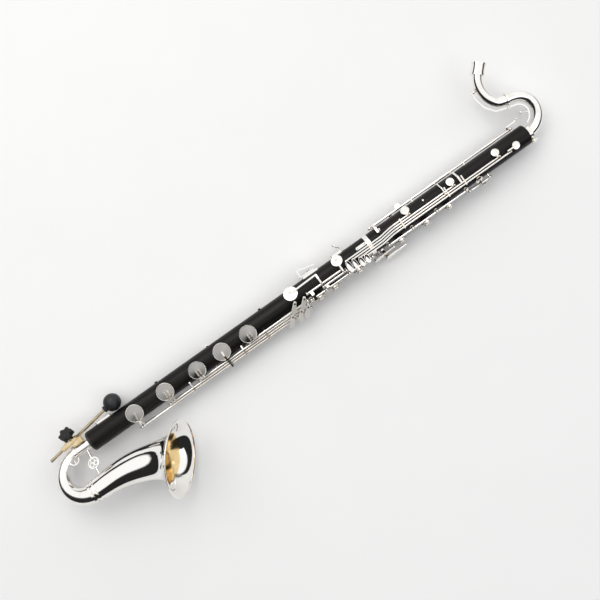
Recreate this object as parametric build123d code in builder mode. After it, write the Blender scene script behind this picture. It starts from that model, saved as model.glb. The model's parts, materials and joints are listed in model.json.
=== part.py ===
from build123d import *
import os
from math import cos, degrees, radians, sin, sqrt

# Bass clarinet to low C, assembled without its mouthpiece and lying on its left side.
# Millimetres.  +X runs along the bore to the neck, +Y is the player's side of the tube,
# -Y the side the bell opens to, and +Z the right-hand side that faces up.
# Places are given from the bore: s from the bell end, back towards +Y, up towards +Z.

os.makedirs("parts", exist_ok=True)

# ---- driving dimensions ----
BODY_R = 18.5
BORE_R = 12.0
BODY_START = 5.0
BODY_LENGTH = 939.0
JOINT_START = 597.0
JOINT_END = 605.5
REST_HEIGHT = 28.0
ORIGIN_S = 452.82
ORIGIN_BACK = -6.1

WALL = 0.9
BELL_ROLL = 26.0
BOW_DROP = 82.0
BOW_START = -28.0
BOW_TUBE_R = 7.6
BOW_END_R = 17.6
FLARE_ARC_R = 219.0
FLARE_TURN = 35.5
RIM_R = 66.5
COLLAR_R = 10.2
COLLAR_BEAD = 1.1

NECK_ROLL = 10.0
NECK_TUBE_R = 9.6
NECK_TIP_R = 8.8
NECK_BEND_R = 34.0
NECK_BEND_TURN = 166.0
NECK_STRAIGHT = 20.0
RECEIVER_R = 12.2
RECEIVER_BORE = 11.0
RECEIVER_LENGTH = 17.0

SEAT_R = 21.5
CUP_LIFT = 1.2
CUP_SKIRT = 2.2
TUBE_R = 2.1
TUBE_BORE = 1.05
ROD_R = 1.0
BALL_R = 3.1
PRESS = 6.0

PEG_SLOPE = 9.1
PEG_R = 2.8
PEG_BALL_R = 15.8


def at(s, back, up):
    return Vector(s - ORIGIN_S, back - ORIGIN_BACK, up + REST_HEIGHT)


def cross(s):
    """Plane across the bore: local x is back, local y is up."""
    return Plane(origin=at(s, 0, 0), x_dir=(0, 1, 0), z_dir=(1, 0, 0))


def radial(s, angle, r):
    """Plane facing outwards at r from the bore; the angle turns from up to the front."""
    out = Vector(0, -sin(radians(angle)), cos(radians(angle)))
    return Plane(origin=at(s, 0, 0) + out * r, x_dir=(1, 0, 0), z_dir=out)


def bell_point(a, drop):
    tilt = radians(BELL_ROLL)
    return at(a, -drop * cos(tilt), drop * sin(tilt))


def bell_direction(along, down):
    return bell_point(along, down) - bell_point(0, 0)


def neck_point(a, rise):
    tilt = radians(NECK_ROLL)
    return at(a, rise * cos(tilt), rise * sin(tilt))


def neck_direction(along, rise):
    return neck_point(along, rise) - neck_point(0, 0)


NECK_NORMAL = neck_direction(1, 0).cross(neck_direction(0, 1)).normalized()
BELL_NORMAL = bell_direction(0, 1).cross(bell_direction(1, 0)).normalized()


def add_rod(start, end, radius, mode=Mode.ADD):
    run = end - start
    with BuildSketch(Plane(origin=start, z_dir=run)) as section:
        Circle(radius)
    extrude(section.sketch, amount=run.length, mode=mode)


def add_ball(centre, radius):
    with Locations(centre):
        Sphere(radius)


def add_hinge_tube(start, end, back, up):
    add_rod(at(start, back, up), at(end, back, up), TUBE_R)


def bore_hinge_tube(start, end, back, up):
    add_rod(at(start - 1, back, up), at(end + 1, back, up), TUBE_BORE, mode=Mode.SUBTRACT)


def bar_spine(points, bend):
    with BuildLine() as spine:
        if len(points) == 2:
            Line(*points)
        else:
            FilletPolyline(*points, radius=bend)
    return spine.wire()


def add_arm(s, points, width=3.4, thick=2.2, bend=2.0):
    """A bar bent in the plane across the bore, through (back, up) points."""
    with BuildSketch(cross(s)) as bar:
        SlotArc(bar_spine(points, bend), thick)
    extrude(bar.sketch, amount=width / 2, both=True)


def add_bar(points, up, width=2.6, thick=2.4, bend=2.5):
    """A flat bar lying over the body, through (s, back) points at one height."""
    level = Plane(origin=at(0, 0, up), x_dir=(1, 0, 0), z_dir=(0, 0, 1))
    with BuildSketch(level) as bar:
        SlotArc(bar_spine(points, bend), width)
    extrude(bar.sketch, amount=thick / 2, both=True)


def add_cup(s, angle, radius, lift=CUP_LIFT):
    """Round pad cup with a recess for the pad and a shallow domed back."""
    seat = radial(s, angle, SEAT_R + lift)
    side = Plane(origin=seat.origin, x_dir=seat.x_dir, z_dir=seat.x_dir.cross(seat.z_dir))
    crown = CUP_SKIRT + 0.1 * radius
    with BuildSketch(side) as profile:
        with BuildLine():
            Polyline((0, 1.4), (radius - 0.8, 1.4), (radius - 0.8, 0), (radius, 0), (radius, CUP_SKIRT - 0.5))
            ThreePointArc((radius, CUP_SKIRT - 0.5), (radius - 0.25, CUP_SKIRT + 0.25), (radius - 0.9, CUP_SKIRT))
            Polyline((radius - 0.9, CUP_SKIRT), (0.12 * radius, crown - 0.1), (0, crown), (0, 1.4))
        make_face()
    revolve(profile.sketch, axis=Axis(seat.origin, seat.z_dir))


def cup_top(angle, radius, lift=CUP_LIFT):
    """(back, up) of the middle of a cup's crown, just inside the metal."""
    r = SEAT_R + lift + CUP_SKIRT + 0.1 * radius - 0.6
    return (-r * sin(radians(angle)), r * cos(radians(angle)))


def add_leaf(plane, length, width, turn, thick=1.0, bevel=0.8):
    """Leaf-shaped finger touch, narrower at its far end and bevelled around its top."""
    wide = width / 2
    narrow = width * 0.32
    ahead = Vector(cos(radians(turn)), sin(radians(turn)), 0)
    outlines = []
    for height, inset in ((0, 0), (thick, 0), (thick + bevel, bevel)):
        with BuildSketch(plane.offset(height)) as leaf:
            with Locations(ahead * (wide - length / 2)):
                Circle(wide - inset)
            with Locations(ahead * (length / 2 - narrow)):
                Circle(narrow - inset)
            make_hull()
        outlines.append(leaf.sketch)
    loft(outlines, ruled=True)


def add_dish(plane, length, width, thick=2.2, hollow=1.1):
    """Oval finger touch, lengthways along the plane's y, scooped out on top."""
    with BuildSketch(plane) as oval:
        Ellipse(width / 2, length / 2)
    extrude(oval.sketch, amount=thick)
    inner_long = length / 2 - 0.6
    inner_wide = width / 2 - 0.6
    belly = (inner_wide**2 + hollow**2) / (2 * hollow)
    long_radius = inner_long**2 / (2 * hollow)
    reach = length / 2 + 2
    end_radius = belly - reach**2 / (2 * long_radius)
    spine = plane.origin + plane.z_dir * (thick + belly - hollow)
    with BuildSketch(Plane(origin=spine, x_dir=plane.y_dir, z_dir=plane.x_dir)) as spindle:
        with BuildLine():
            ThreePointArc((-reach, end_radius), (0, belly), (reach, end_radius))
            Polyline((reach, end_radius), (reach, 0), (-reach, 0), (-reach, end_radius))
        make_face()
    revolve(spindle.sketch, axis=Axis(spine, plane.y_dir), mode=Mode.SUBTRACT)


def clear_body(extra=0.0):
    add_rod(at(-60, 0, 0), at(BODY_LENGTH + 60, 0, 0), BODY_R + extra, mode=Mode.SUBTRACT)


def save(solid, name):
    solid.label = name
    export_step(solid, f"parts/{name}.step")


# ---- tone holes: station, angle, seat radius, hole radius ----
LOW_CUPS = {
    "low_c_key": (101.3, 9, 15.7),
    "low_c_sharp_key": (165.8, 9, 15.7),
    "low_d_key": (232.5, 9, 15.7),
    "low_e_flat_key": (285.3, 9, 15.7),
    "low_e_key": (340.0, 9, 15.7),
}
SIDE_CUPS = {"f_key": (439.8, -23, 12.9), "b_key": (537.6, -24, 10.2)}
TRILL_CUPS = {
    "trill_key_1": (684.0, -32, 8.0),
    "trill_key_2": (775.8, -20, 7.3),
    "trill_key_3": (868.0, -11, 7.0),
    "trill_key_4": (905.0, 14, 7.0),
}
PLATE_CUPS = {
    "right_ring_plate": (479.0, 92, 11.0),
    "right_middle_plate": (510.0, 92, 11.0),
    "right_index_plate": (562.0, 92, 10.5),
    "left_ring_plate": (652.0, 92, 10.5),
    "left_middle_plate": (706.0, 92, 10.0),
    "left_index_plate": (754.0, 92, 9.5),
}
THROAT_CUPS = {"throat_key": (821.0, 47, 7.0)}
LEFT_CUPS = {"left_side_key": (745.0, 165, 8.5)}
ALL_CUPS = {**LOW_CUPS, **SIDE_CUPS, **TRILL_CUPS, **PLATE_CUPS, **THROAT_CUPS, **LEFT_CUPS}


def body_joint(start, end):
    """Wooden tube with raised tone-hole seats on it."""
    add_rod(at(start, 0, 0), at(end, 0, 0), BODY_R)
    cups = [cup for cup in ALL_CUPS.values() if start < cup[0] < end]
    for s, angle, radius in cups:
        with BuildSketch(radial(s, angle, BORE_R + 1)) as seat:
            Circle(radius * 0.8)
        extrude(seat.sketch, amount=SEAT_R - BORE_R - 1)
    add_rod(at(start - 1, 0, 0), at(end + 1, 0, 0), BORE_R, mode=Mode.SUBTRACT)
    for s, angle, radius in cups:
        with BuildSketch(radial(s, angle, BORE_R - 4)) as hole:
            Circle(radius * 0.55)
        extrude(hole.sketch, amount=SEAT_R, mode=Mode.SUBTRACT)


# ---- wooden body ----
TENON_R = 15.6
TENON_LENGTH = 17.0
CORK_R = 16.2

with BuildPart() as lower_joint:
    body_joint(BODY_START, JOINT_START)
    add_rod(at(JOINT_START - 1, 0, 0), at(JOINT_END + TENON_LENGTH, 0, 0), TENON_R)
    add_rod(at(JOINT_START - 2, 0, 0), at(JOINT_END + 40, 0, 0), BORE_R, mode=Mode.SUBTRACT)
    with BuildSketch(cross(BODY_START)) as mouth:
        Circle(BODY_R + 5)
        Circle(BODY_R - 1.5, mode=Mode.SUBTRACT)
    extrude(mouth.sketch, amount=4, mode=Mode.SUBTRACT)
    add_rod(at(BODY_START - 1, 0, 0), at(BODY_START + 16, 0, 0), BORE_R + 0.5, mode=Mode.SUBTRACT)
save(lower_joint.part, "lower_joint")

with BuildPart() as upper_joint:
    body_joint(JOINT_END, BODY_LENGTH)
    add_rod(at(JOINT_END - 1, 0, 0), at(JOINT_END + TENON_LENGTH + 1, 0, 0), CORK_R, mode=Mode.SUBTRACT)
    top_edges = upper_joint.edges().filter_by(GeomType.CIRCLE).filter_by(
        lambda edge: abs(edge.radius - BODY_R) < 0.01
    )
    fillet(top_edges.sort_by(Axis.X)[-1], radius=3.5)
    add_rod(at(BODY_LENGTH - 16, 0, 0), at(BODY_LENGTH + 1, 0, 0), BORE_R + 1.2, mode=Mode.SUBTRACT)
save(upper_joint.part, "upper_joint")

with BuildPart() as tenon_cork:
    add_rod(at(JOINT_END + 2, 0, 0), at(JOINT_END + TENON_LENGTH - 2, 0, 0), CORK_R)
    add_rod(at(JOINT_END, 0, 0), at(JOINT_END + 40, 0, 0), TENON_R, mode=Mode.SUBTRACT)
save(tenon_cork.part, "tenon_cork")

with BuildPart() as joint_ferrule:
    add_rod(at(JOINT_START + 0.05, 0, 0), at(JOINT_END - 0.05, 0, 0), BODY_R + 0.6)
    add_rod(at(JOINT_START - 1, 0, 0), at(JOINT_END + 1, 0, 0), TENON_R, mode=Mode.SUBTRACT)
    fillet(joint_ferrule.faces().sort_by(Axis.X)[0].outer_wire().edges(), radius=0.6)
    fillet(joint_ferrule.faces().sort_by(Axis.X)[-1].outer_wire().edges(), radius=0.6)
save(joint_ferrule.part, "joint_ferrule")

with BuildPart() as lower_end_ring:
    add_rod(at(BODY_START, 0, 0), at(BODY_START + 4, 0, 0), BODY_R - 0.1)
    add_rod(at(BODY_START - 1, 0, 0), at(BODY_START + 5, 0, 0), BODY_R - 1.5, mode=Mode.SUBTRACT)
    fillet(lower_end_ring.faces().sort_by(Axis.X)[0].outer_wire().edges(), radius=1.2)
save(lower_end_ring.part, "lower_end_ring")


# ---- bell: socket collar, bow, ring and flare, all in one plane rolled about the bore ----
def bell_plane(a, drop, turn):
    """Section plane on the bell's centreline; turn is its heading from +X towards the drop."""
    heading = bell_direction(cos(radians(turn)), sin(radians(turn)))
    return Plane(origin=bell_point(a, drop), x_dir=BELL_NORMAL, z_dir=heading)


def loft_tube(stations, inset=0.0, mode=Mode.ADD):
    """Lofts circles through (plane, radius) stations, each drawn in by inset."""
    sections = []
    for plane, radius in stations:
        with BuildSketch(plane) as ring:
            Circle(radius - inset)
        sections.append(ring.sketch)
    loft(sections, mode=mode)


BEND_R = BOW_DROP / 2
bow_stations = []
for step in range(9):
    sweep_angle = 180.0 * step / 8
    turned = radians(sweep_angle)
    place = bell_plane(BOW_START - BEND_R * sin(turned), BEND_R * (1 - cos(turned)), 180 - sweep_angle)
    bow_radius = BOW_TUBE_R + (BOW_END_R - BOW_TUBE_R) * step / 8
    bow_stations.append((place, bow_radius))

with BuildPart() as bell_bow:
    loft_tube(bow_stations)
    loft_tube(bow_stations, WALL, Mode.SUBTRACT)
save(bell_bow.part, "bell_bow")

FLARE_START = BOW_START + 0.1
flare_profile = [(0.0, 18.6), (0.17, 21.2), (0.36, 24.6), (0.5, 27.4), (0.62, 29.6), (0.72, 31.8),
                 (0.8, 34.8), (0.87, 39.6), (0.93, 46.8), (0.97, 54.6), (1.0, RIM_R - 1.2)]
STRAIGHT = 28.0
ARC_LENGTH = FLARE_ARC_R * radians(FLARE_TURN)


def flare_place(fraction):
    run = fraction * (STRAIGHT + ARC_LENGTH)
    turn = max(0.0, (run - STRAIGHT) / FLARE_ARC_R)
    along = FLARE_START + min(run, STRAIGHT) + FLARE_ARC_R * sin(turn)
    return bell_plane(along, BOW_DROP + FLARE_ARC_R * (1 - cos(turn)), degrees(turn))


flare_stations = [(flare_place(fraction), radius) for fraction, radius in flare_profile]
rim = flare_place(1.0)

with BuildPart() as bell_flare:
    loft_tube(flare_stations)
    loft_tube(flare_stations, WALL, Mode.SUBTRACT)
    with BuildSketch(rim) as bead:
        Circle(RIM_R)
        Circle(RIM_R - 2.1, mode=Mode.SUBTRACT)
    extrude(bead.sketch, amount=1.8)
    fillet(bell_flare.edges().filter_by(GeomType.CIRCLE).filter_by(lambda e: e.radius > RIM_R - 0.05), radius=0.8)
save(bell_flare.part, "bell_flare")

with BuildPart() as bell_ring:
    add_rod(bell_point(BOW_START - 4, BOW_DROP), bell_point(BOW_START, BOW_DROP), 19.5)
    add_rod(bell_point(BOW_START + 5.5, BOW_DROP), bell_point(BOW_START + 8, BOW_DROP), 20.4)
    loft_tube(bow_stations, mode=Mode.SUBTRACT)
    loft_tube(flare_stations, mode=Mode.SUBTRACT)
    add_rod(bell_point(BOW_START - 9, BOW_DROP), bell_point(BOW_START + 12, BOW_DROP), 17.3, mode=Mode.SUBTRACT)
save(bell_ring.part, "bell_ring")

# The bow's end face sits on a flat shoulder inside the collar.
with BuildPart() as bell_collar:
    add_rod(at(BOW_START - 1, 0, 0), at(BODY_START - 0.4, 0, 0), COLLAR_R)
    add_rod(at(BOW_START - 1.5, 0, 0), at(BOW_START + 4, 0, 0), COLLAR_R + COLLAR_BEAD)
    add_rod(at(BODY_START - 0.6, 0, 0), at(BODY_START + 14, 0, 0), BORE_R + 0.2)
    add_rod(at(BOW_START - 3, 0, 0), at(BOW_START, 0, 0), BOW_TUBE_R + 0.25, mode=Mode.SUBTRACT)
    add_rod(at(BOW_START - 3, 0, 0), at(BODY_START + 20, 0, 0), BOW_TUBE_R - WALL, mode=Mode.SUBTRACT)
    add_rod(at(BODY_START + 2, 0, 0), at(BODY_START + 20, 0, 0), BORE_R - 1, mode=Mode.SUBTRACT)
save(bell_collar.part, "bell_collar")

BRACE_A = -7.5
BRACE_DROP = 36.7
BRACE_R = 10.5
brace_plane = Plane(origin=bell_point(BRACE_A, BRACE_DROP), x_dir=(1, 0, 0), z_dir=BELL_NORMAL)
BRACE_UP = 1 if brace_plane.y_dir.dot(bell_direction(0, -1)) > 0 else -1

with BuildPart() as bell_brace:
    with BuildSketch(brace_plane) as medallion:
        Circle(BRACE_R)
        Circle(BRACE_R - 1.8, mode=Mode.SUBTRACT)
        with PolarLocations(BRACE_R / 2 - 0.7, 3, start_angle=90):
            Circle(BRACE_R / 2 - 0.6)
            Circle(BRACE_R / 2 - 2.2, mode=Mode.SUBTRACT)
    extrude(medallion.sketch, amount=1.1, both=True)
    add_rod(bell_point(BRACE_A, COLLAR_R - 0.2), bell_point(BRACE_A, BRACE_DROP - BRACE_R + 0.8), 1.9)
    add_rod(bell_point(BRACE_A, BRACE_DROP + BRACE_R - 0.8), bell_point(BRACE_A, BOW_DROP - 20.6), 1.5)
    with BuildSketch(Plane(origin=bell_point(-36.0, 11.5), x_dir=(1, 0, 0), z_dir=BELL_NORMAL)) as eyelet:
        Circle(9.5)
        Circle(7.6, mode=Mode.SUBTRACT)
        Rectangle(1.6, 17)
        with Locations((0, 15 * BRACE_UP)):
            Rectangle(40, 30, mode=Mode.SUBTRACT)
    extrude(eyelet.sketch, amount=1.0, both=True)
    add_rod(at(BOW_START - 3, 0, 0), at(BOW_START + 4.1, 0, 0), COLLAR_R + COLLAR_BEAD + 0.05, mode=Mode.SUBTRACT)
    add_rod(at(BOW_START, 0, 0), at(BODY_START, 0, 0), COLLAR_R + 0.02, mode=Mode.SUBTRACT)
    loft_tube(bow_stations, mode=Mode.SUBTRACT)
    loft_tube(flare_stations, mode=Mode.SUBTRACT)
save(bell_brace.part, "bell_brace")


# ---- neck ----
def neck_plane(a, rise, turn):
    heading = neck_direction(cos(radians(turn)), sin(radians(turn)))
    return Plane(origin=neck_point(a, rise), x_dir=NECK_NORMAL, z_dir=heading)


NECK_RUNS = ((5.0, 0.0), (NECK_BEND_R * radians(NECK_BEND_TURN), NECK_BEND_TURN),
             (NECK_STRAIGHT, 0.0), (25.0 * radians(41), -41.0), (43.0 * radians(77), -77.0))
NECK_LENGTH = sum(run for run, turn in NECK_RUNS)


def neck_place(run):
    """Point and heading on the neck's centreline: straight runs joined by tangent arcs."""
    a, rise, heading = BODY_LENGTH, 0.0, 0.0
    for length, turn in NECK_RUNS:
        part_run = min(run, length)
        bend = turn * part_run / length
        chord = part_run if turn == 0 else 2 * length / radians(turn) * sin(radians(bend / 2))
        a += chord * cos(radians(heading + bend / 2))
        rise += chord * sin(radians(heading + bend / 2))
        heading += bend
        run -= part_run
    return neck_plane(a, rise, heading), (a, rise, heading)


neck_stations = []
for step in range(21):
    neck_fraction = step / 20
    neck_radius = NECK_TUBE_R + (NECK_TIP_R - NECK_TUBE_R) * neck_fraction
    neck_stations.append((neck_place(neck_fraction * NECK_LENGTH)[0], neck_radius))

with BuildPart() as neck_tube:
    loft_tube(neck_stations)
    loft_tube(neck_stations, WALL, Mode.SUBTRACT)
save(neck_tube.part, "neck_tube")

receiver_plane, (tip_a, tip_rise, tip_heading) = neck_place(NECK_LENGTH)
tip_dir = receiver_plane.z_dir
tip = receiver_plane.origin

with BuildPart() as mouthpiece_receiver:
    add_rod(tip - tip_dir * 2, tip + tip_dir * (RECEIVER_LENGTH + 1), RECEIVER_R)
    add_rod(tip - tip_dir * 2.5, tip + tip_dir * 1.2, RECEIVER_R + 1.0)
    add_rod(tip + tip_dir * (RECEIVER_LENGTH - 1.5), tip + tip_dir * (RECEIVER_LENGTH + 1.4), RECEIVER_R + 0.8)
    loft_tube(neck_stations, mode=Mode.SUBTRACT)
    add_rod(tip - tip_dir * 2, tip + tip_dir * 3, NECK_TIP_R - 0.9, mode=Mode.SUBTRACT)
    add_rod(tip + tip_dir * 2, tip + tip_dir * 40, RECEIVER_BORE, mode=Mode.SUBTRACT)
save(mouthpiece_receiver.part, "mouthpiece_receiver")

TOP = BODY_LENGTH
LUG_BACK = -17.4
with BuildPart() as neck_tenon:
    add_rod(at(TOP - 14, 0, 0), at(TOP + 0.8, 0, 0), BORE_R + 0.2)
    add_rod(at(TOP + 0.75, 0, 0), at(TOP + 5.5, 0, 0), BORE_R + 1.3)
    add_rod(at(TOP - 20, 0, 0), at(TOP + 0.5, 0, 0), NECK_TUBE_R - 0.9, mode=Mode.SUBTRACT)
    loft_tube(neck_stations, mode=Mode.SUBTRACT)
save(neck_tenon.part, "neck_tenon")

with BuildPart() as neck_socket:
    add_rod(at(TOP - 15, 0, 0), at(TOP + 0.6, 0, 0), BORE_R + 1.2)
    add_rod(at(TOP + 0.05, 0, 0), at(TOP + 6, 0, 0), BORE_R + 3.0)
    with BuildSketch(cross(TOP + 0.3)) as lugs:
        with Locations((-16.8, -1)):
            Rectangle(7, 6.5)
    extrude(lugs.sketch, amount=5.7)
    add_rod(at(TOP + 3.4, LUG_BACK, 2.3), at(TOP + 3.4, LUG_BACK, 9), 3.2, mode=Mode.SUBTRACT)
    add_rod(at(TOP - 20, 0, 0), at(TOP + 0.7, 0, 0), BORE_R + 0.25, mode=Mode.SUBTRACT)
    add_rod(at(TOP + 0.6, 0, 0), at(TOP + 9, 0, 0), BORE_R + 1.6, mode=Mode.SUBTRACT)
    add_rod(at(TOP + 3.4, LUG_BACK, -9), at(TOP + 3.4, LUG_BACK, 9), 1.3, mode=Mode.SUBTRACT)
save(neck_socket.part, "neck_socket")

with BuildPart() as neck_clamp_screw:
    add_rod(at(TOP + 3.4, LUG_BACK, -5.5), at(TOP + 3.4, LUG_BACK, 4), 1.25)
    add_rod(at(TOP + 3.4, LUG_BACK, 2.7), at(TOP + 3.4, LUG_BACK, 5.2), 2.8)
    add_rod(at(TOP + 3.4, LUG_BACK, 5), at(TOP + 3.4, LUG_BACK, 10), 1.7)
    with BuildSketch(Plane(origin=at(TOP + 3.4, LUG_BACK, 9.7), z_dir=(0, 0, 1))) as wing:
        SlotOverall(7.4, 2.2)
    extrude(wing.sketch, amount=4.2)
save(neck_clamp_screw.part, "neck_clamp_screw")


def add_neck_bar(points, width, thick, bend):
    level = Plane(origin=neck_point(0, 0), x_dir=(1, 0, 0), z_dir=NECK_NORMAL)
    with BuildSketch(level) as bar:
        SlotArc(bar_spine(points, bend), width)
    extrude(bar.sketch, amount=thick / 2, both=True)


def beside_neck(run, gap):
    """Point beside the neck's centreline, on the side that faces the player."""
    a, rise, heading = neck_place(run)[1]
    return (a + gap * cos(radians(heading + 90)), rise + gap * sin(radians(heading + 90)))


BEND_END = NECK_RUNS[0][0] + NECK_RUNS[1][0]
PIVOT_RUN = BEND_END + 12
NECK_KEY_GAP = NECK_TUBE_R + 4.4
VENT_RUN = BEND_END + NECK_STRAIGHT + 50
pivot_a, pivot_rise = beside_neck(PIVOT_RUN, NECK_KEY_GAP)
pivot_point = neck_point(pivot_a, pivot_rise)
vent_plane, (vent_a, vent_rise, vent_heading) = neck_place(VENT_RUN)
vent_side = neck_direction(cos(radians(vent_heading + 90)), sin(radians(vent_heading + 90)))
vent_point = neck_point(vent_a, vent_rise)

with BuildPart() as neck_key_saddle:
    saddle_plane = neck_place(PIVOT_RUN)[0]
    saddle_side = (pivot_point - saddle_plane.origin).normalized()
    add_rod(saddle_plane.origin - saddle_plane.z_dir * 1.6, saddle_plane.origin + saddle_plane.z_dir * 1.6, 11.0)
    for side in (-1, 1):
        ear = pivot_point + NECK_NORMAL * (3.6 * side)
        add_rod(ear, ear - saddle_side * 5.5, 1.5)
        add_rod(ear - NECK_NORMAL * 1.2, ear + NECK_NORMAL * 1.2, 2.4)
    add_rod(saddle_plane.origin - saddle_plane.z_dir * 9, saddle_plane.origin + saddle_plane.z_dir * 9, 9.55,
            mode=Mode.SUBTRACT)
    add_rod(pivot_point - NECK_NORMAL * 9, pivot_point + NECK_NORMAL * 9, ROD_R, mode=Mode.SUBTRACT)
    add_rod(vent_point + vent_side * 8.0, vent_point + vent_side * 10.8, 2.6)
    add_rod(vent_point + vent_side * 4, vent_point + vent_side * 20, 1.2, mode=Mode.SUBTRACT)
    vent_axis = vent_plane.z_dir
    add_rod(vent_point - vent_axis * 6, vent_point + vent_axis * 6, 9.05, mode=Mode.SUBTRACT)
save(neck_key_saddle.part, "neck_key_saddle")

with BuildPart() as neck_key_pin:
    add_rod(pivot_point - NECK_NORMAL * 5.2, pivot_point + NECK_NORMAL * 5.2, ROD_R)
save(neck_key_pin.part, "neck_key_pin")

key_side = [beside_neck(run, NECK_KEY_GAP) for run in (60, 72, 84, BEND_END - 5, PIVOT_RUN)]
key_side += [beside_neck(run, NECK_KEY_GAP + 1.8) for run in (VENT_RUN - 40, VENT_RUN - 26, VENT_RUN - 12, VENT_RUN)]
link_knob = neck_point(950, 37)
low_key_side = [beside_neck(run, NECK_KEY_GAP + 1) for run in (18, 32, 46)]

with BuildPart() as neck_register_key:
    add_neck_bar(low_key_side + key_side, 2.4, 3.4, 1.5)
    add_rod(neck_point(*beside_neck(50, NECK_KEY_GAP)), link_knob, 1.3)
    add_ball(link_knob, 2.6)
    add_rod(pivot_point - NECK_NORMAL * 1.7, pivot_point + NECK_NORMAL * 1.7, 2.6)
    add_rod(vent_point + vent_side * 12.1, vent_point + vent_side * 14.6, 4.4)
    add_rod(pivot_point - NECK_NORMAL * 9, pivot_point + NECK_NORMAL * 9, TUBE_BORE, mode=Mode.SUBTRACT)
save(neck_register_key.part, "neck_register_key")

# ---- floor peg, its holder and clamp ----
peg_dir = Vector(cos(radians(PEG_SLOPE)), sin(radians(PEG_SLOPE)), 0)
peg_tail = at(-72, 11.4, 1)
PEG_ROD = 130.0
peg_tip = peg_tail + peg_dir * PEG_ROD
ball_centre = peg_tip + peg_dir * (PEG_BALL_R + 3.2)

with BuildPart() as peg_rod:
    add_rod(peg_tail, peg_tip + peg_dir * 8, PEG_R)
    fillet(peg_rod.edges().filter_by(GeomType.CIRCLE).sort_by(Axis.X)[0], radius=1.0)
save(peg_rod.part, "peg_rod")

with BuildPart() as peg_tip_ball:
    add_ball(ball_centre, PEG_BALL_R)
    add_rod(peg_tip, ball_centre, 6.0)
    add_rod(peg_tip - peg_dir, peg_tip + peg_dir * 8, PEG_R, mode=Mode.SUBTRACT)
save(peg_tip_ball.part, "peg_tip_ball")

HOLDER_AT = 46.0
holder_centre = peg_tail + peg_dir * HOLDER_AT
holder_plane = Plane(origin=holder_centre - peg_dir * 16, x_dir=(0, 0, 1), z_dir=peg_dir)
knob_axis = Vector(0, sin(radians(45)), cos(radians(45)))
knob_base = peg_tail + peg_dir * 54.0

with BuildPart() as peg_holder:
    with BuildSketch(holder_plane) as block:
        RectangleRounded(11, 9.5, 2.5)
    extrude(block.sketch, amount=32)
    add_rod(knob_base, knob_base + knob_axis * 10, 4.2)
    with BuildSketch(Plane(origin=at(-23.5, 12, 0), x_dir=(0, 1, 0), z_dir=(1, 0, 0))) as foot:
        with Locations((1.5, 1)):
            Rectangle(12, 8)
    extrude(foot.sketch, amount=19)
    add_rod(peg_tail - peg_dir * 5, peg_tip, PEG_R + 0.08, mode=Mode.SUBTRACT)
    add_rod(at(-80, 0, 0), at(40, 0, 0), COLLAR_R + 0.02, mode=Mode.SUBTRACT)
    add_rod(knob_base + knob_axis * 3.2, knob_base + knob_axis * 30, 1.9, mode=Mode.SUBTRACT)
save(peg_holder.part, "peg_holder")

with BuildPart() as peg_clamp_knob:
    add_rod(knob_base + knob_axis * 3.4, knob_base + knob_axis * 19, 1.8)
    with BuildSketch(Plane(origin=knob_base + knob_axis * 15.5, x_dir=(1, 0, 0), z_dir=knob_axis)) as star:
        Circle(10.2)
        with PolarLocations(10.2, 6):
            Circle(3.3)
        with PolarLocations(13.4, 6, start_angle=30):
            Circle(3.4, mode=Mode.SUBTRACT)
    extrude(star.sketch, amount=9.5)
    with BuildSketch(Plane(origin=knob_base + knob_axis * 12.5, x_dir=(1, 0, 0), z_dir=knob_axis)) as hub:
        Circle(5.5)
    extrude(hub.sketch, amount=4)
save(peg_clamp_knob.part, "peg_clamp_knob")

with BuildPart() as peg_rest_plate:
    with BuildSketch(Plane(origin=at(45, 18.0, 0), x_dir=(1, 0, 0), z_dir=(0, 1, 0))) as plate:
        RectangleRounded(31, 11, 4)
    extrude(plate.sketch, amount=3.4)
    for screw_s in (36, 54):
        add_rod(at(screw_s, 21.0, 0), at(screw_s, 22.6, 0), 2.2)
    clear_body()
save(peg_rest_plate.part, "peg_rest_plate")


# ---- thumb rest, strap ring and small back fittings ----
with BuildPart() as thumb_rest_base:
    with BuildSketch(Plane(origin=at(488, 16.0, 0), x_dir=(1, 0, 0), z_dir=(0, 1, 0))) as base:
        RectangleRounded(34, 14, 3)
    extrude(base.sketch, amount=5)
    clear_body()
save(thumb_rest_base.part, "thumb_rest_base")

with BuildPart() as thumb_rest:
    hook_line = bar_spine([(497, 22.6), (470.8, 22.6), (470.8, 36), (502, 28.5)], 2.5)
    with BuildSketch(Plane(origin=at(0, 0, 0), x_dir=(1, 0, 0), z_dir=(0, 0, 1))) as hook:
        SlotArc(hook_line, 2.2)
    extrude(hook.sketch, amount=7, both=True)
save(thumb_rest.part, "thumb_rest")

with BuildPart() as thumb_rest_screw:
    add_rod(at(488, 24.0, 0), at(488, 26.4, 0), 2.8)
save(thumb_rest_screw.part, "thumb_rest_screw")

RING_S = 551.0
RING_BACK = 32.0
ring_axis = Vector(cos(radians(35)), sin(radians(35)), 0)

with BuildPart() as strap_ring:
    with BuildSketch(Plane(origin=at(545, 16.0, 0), x_dir=(1, 0, 0), z_dir=(0, 1, 0))) as ring_base:
        RectangleRounded(23, 9, 3)
    extrude(ring_base.sketch, amount=6.2)
    clear_body()
    add_rod(at(RING_S, 22, 0), at(RING_S, RING_BACK - 6.6, 0), 1.8)
    with Locations(Location(Plane(origin=at(RING_S, RING_BACK, 0), z_dir=ring_axis))):
        Torus(7.4, 1.1)
save(strap_ring.part, "strap_ring")

with BuildPart() as back_bumpers:
    for bumper_s in (157.5, 379.0):
        add_rod(at(bumper_s, 17.5, 0), at(bumper_s, 20.6, 0), 2.6)
    clear_body()
save(back_bumpers.part, "back_bumpers")


# ---- keywork ----
# Each key is a hinge tube along the bore with its pad cup and touch, all one casting.
# hinge gives the tube's (back, up); opened keys are drawn shut, then turned open.
def cup_arm_points(hinge, angle, radius, over):
    return [hinge] + over + [cup_top(angle, radius)]


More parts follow.
